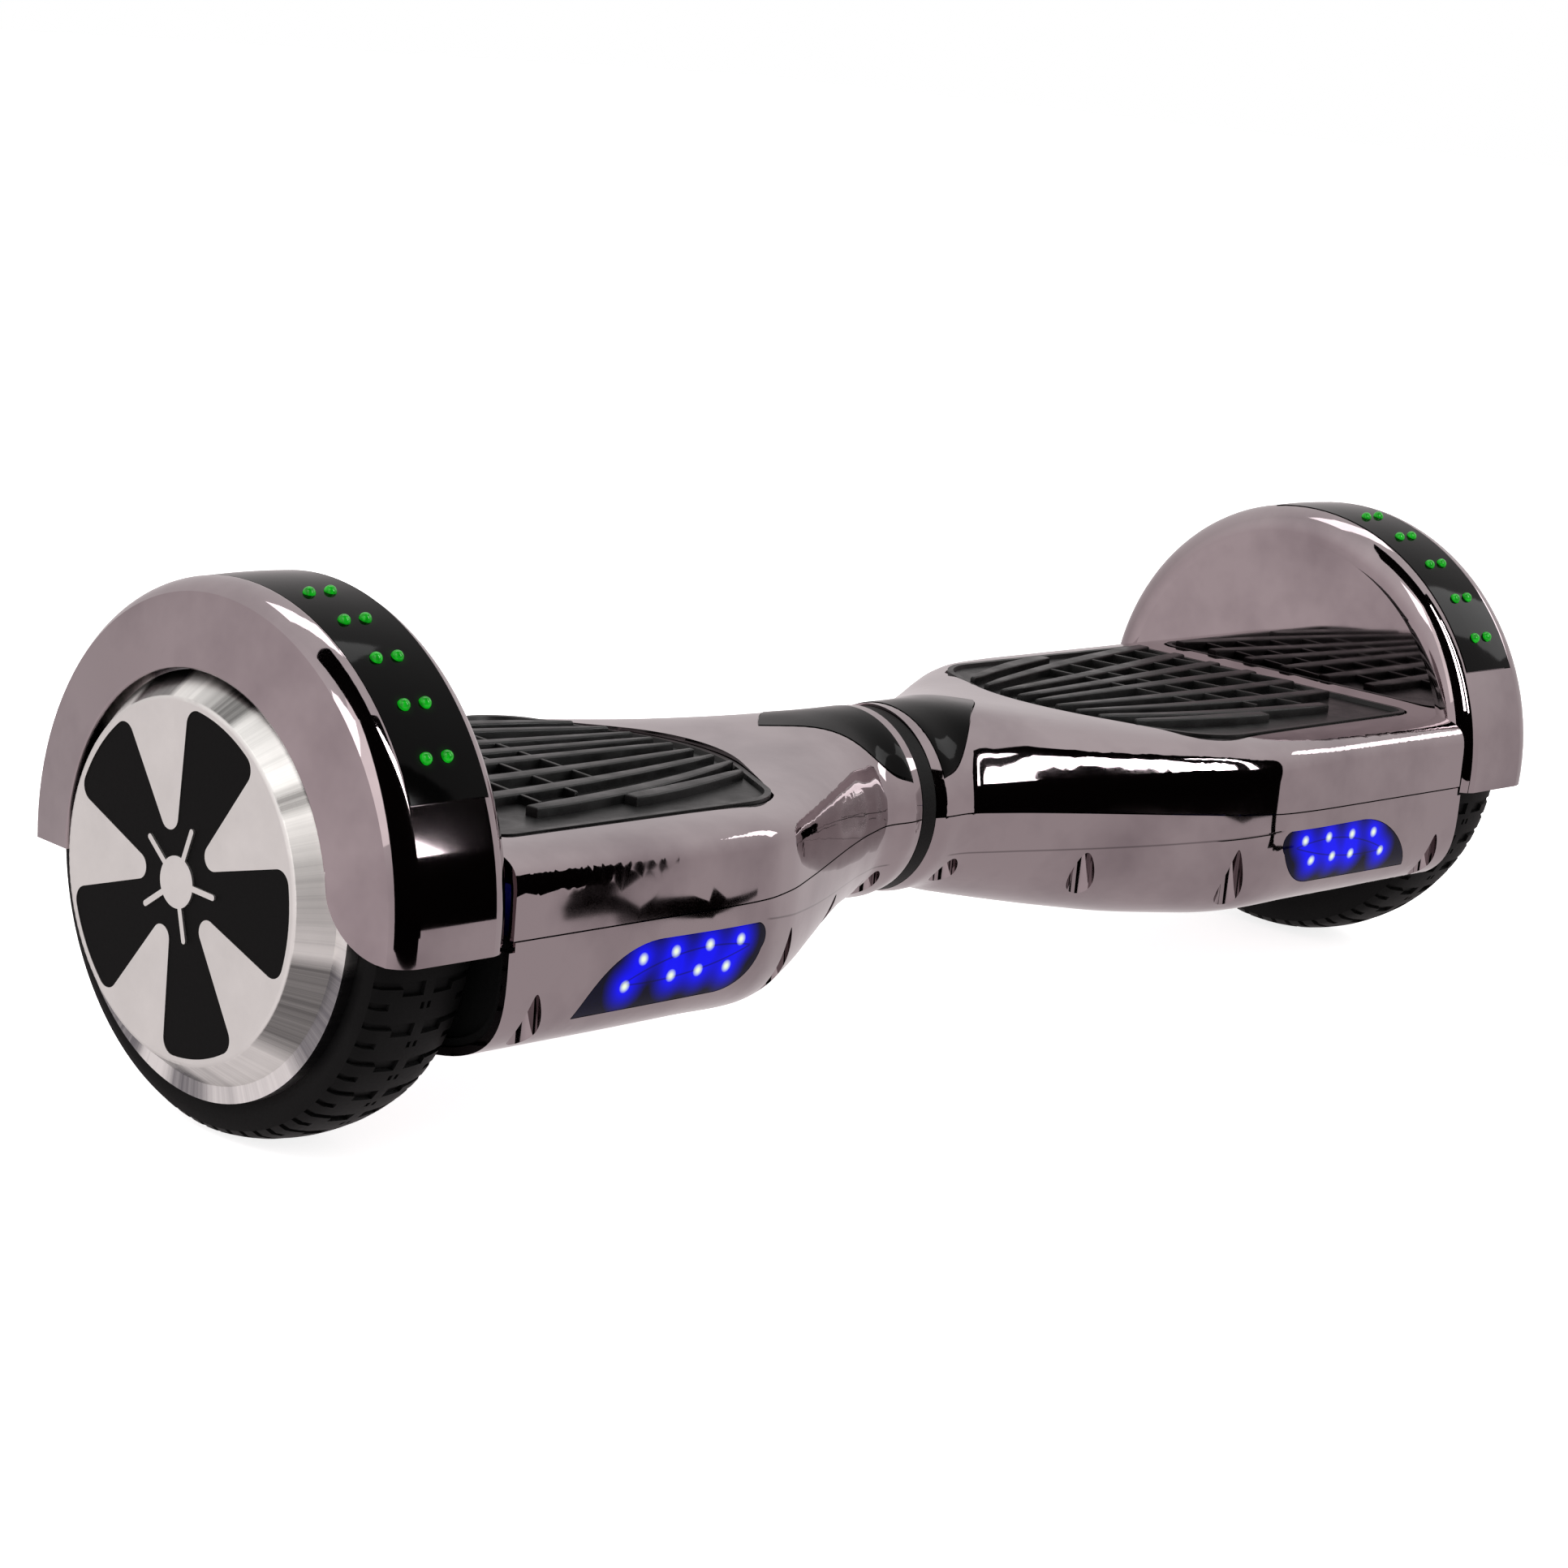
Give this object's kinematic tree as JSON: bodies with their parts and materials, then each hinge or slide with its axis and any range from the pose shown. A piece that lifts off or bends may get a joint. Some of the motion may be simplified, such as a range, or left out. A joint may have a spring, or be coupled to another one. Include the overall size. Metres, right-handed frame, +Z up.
{
  "type": "self balancing board",
  "caption": "Two-wheeled self balancing board with twisting halves, hub-motor wheels under fenders, ribbed foot pads and lamps.",
  "frame": {"origin": "on the floor below the middle of the neck, between the wheels", "axes": "+X along the wheel axle towards the right half, -Y towards the headlights, +Z up"},
  "size_m": [0.614, 0.186, 0.1776],
  "materials": {
    "chrome_shell": "mirror plated",
    "blue_lens": "clear tinted",
    "led_board": "glossy",
    "black_plastic": "matt",
    "gloss_black": "high gloss",
    "green_led": "glossy",
    "cast_alloy": "as cast",
    "steel": "brushed",
    "iron": "varnished laminations",
    "copper": "enamelled wire",
    "machined_alloy": "machined",
    "satin_black": "satin",
    "tyre_rubber": "moulded",
    "pad_rubber": "moulded",
    "circuit_board": "solder resist",
    "bronze": "sintered",
    "battery_wrap": "shrink wrap",
    "soft_rubber": "matt"
  },
  "bodies": {
    "left_half": {"left_top_shell": "chrome_shell", "left_bottom_cover": "chrome_shell", "left_headlight_lens": "blue_lens", "left_headlight_board": "led_board", "left_wheel_liner": "black_plastic", "left_fender_strip": "gloss_black", "left_fender_leds": "green_led", "left_neck_cap": "gloss_black", "left_axle_clamp": "cast_alloy", "left_clamp_screws": "steel", "left_cover_screws": "steel", "left_motor_shaft": "steel", "left_stator": "iron", "left_windings": "copper", "left_sensor_board": "circuit_board", "left_frame": "cast_alloy", "pivot_tube": "steel", "pivot_circlip": "steel", "stop_pins": "steel", "neck_ring": "black_plastic", "battery_pack": "battery_wrap"},
    "right_half": {"right_top_shell": "chrome_shell", "right_bottom_cover": "chrome_shell", "right_headlight_lens": "blue_lens", "right_headlight_board": "led_board", "right_wheel_liner": "black_plastic", "right_fender_strip": "gloss_black", "right_fender_leds": "green_led", "right_neck_cap": "gloss_black", "right_axle_clamp": "cast_alloy", "right_clamp_screws": "steel", "right_cover_screws": "steel", "right_motor_shaft": "steel", "right_stator": "iron", "right_windings": "copper", "right_sensor_board": "circuit_board", "right_frame": "cast_alloy", "pivot_bushes": "bronze", "main_board": "circuit_board", "charge_socket": "black_plastic"},
    "left_wheel": {"left_bearings": "steel", "left_rim": "machined_alloy", "left_magnet_ring": "iron", "left_motor_cover": "cast_alloy", "left_hub_plate": "machined_alloy", "left_hub_inlay": "satin_black", "left_hub_cap": "machined_alloy", "left_tyre": "tyre_rubber"},
    "right_wheel": {"right_bearings": "steel", "right_rim": "machined_alloy", "right_magnet_ring": "iron", "right_motor_cover": "cast_alloy", "right_hub_plate": "machined_alloy", "right_hub_inlay": "satin_black", "right_hub_cap": "machined_alloy", "right_tyre": "tyre_rubber"},
    "left_pad": {"left_foot_pad": "pad_rubber"},
    "right_pad": {"right_foot_pad": "pad_rubber"},
    "button": {"power_button": "gloss_black"},
    "dust_cap": {"charge_cap": "soft_rubber"}
  },
  "joints": [
    {"name": "twist", "type": "hinge", "parent": "left_half", "child": "right_half", "pos_m": [0, 0, 0.08], "axis": [1, 0, 0], "range_deg": [-12, 12]},
    {"name": "left_wheel_spin", "type": "hinge", "parent": "left_half", "child": "left_wheel", "pos_m": [-0.2735, 0, 0.084], "axis": [1, 0, 0], "continuous": true},
    {"name": "right_wheel_spin", "type": "hinge", "parent": "right_half", "child": "right_wheel", "pos_m": [0.2735, 0, 0.084], "axis": [1, 0, 0], "continuous": true},
    {"name": "left_pad_press", "type": "slide", "parent": "left_half", "child": "left_pad", "axis": [0, 0, -1], "range_m": [0, 0.001], "stiffness_N_per_m": 60000, "springref_m": -0.0002},
    {"name": "right_pad_press", "type": "slide", "parent": "right_half", "child": "right_pad", "axis": [0, 0, -1], "range_m": [0, 0.001], "stiffness_N_per_m": 60000, "springref_m": -0.0002},
    {"name": "power_button_press", "type": "slide", "parent": "right_half", "child": "button", "axis": [0, -1, 0], "range_m": [0, 0.0015], "stiffness_N_per_m": 1500, "springref_m": -0.0005},
    {"name": "charge_cap_swing", "type": "hinge", "parent": "right_half", "child": "dust_cap", "pos_m": [0.2, 0.09233, 0.0735], "axis": [1, 0, 0], "range_deg": [0, 110]}
  ]
}
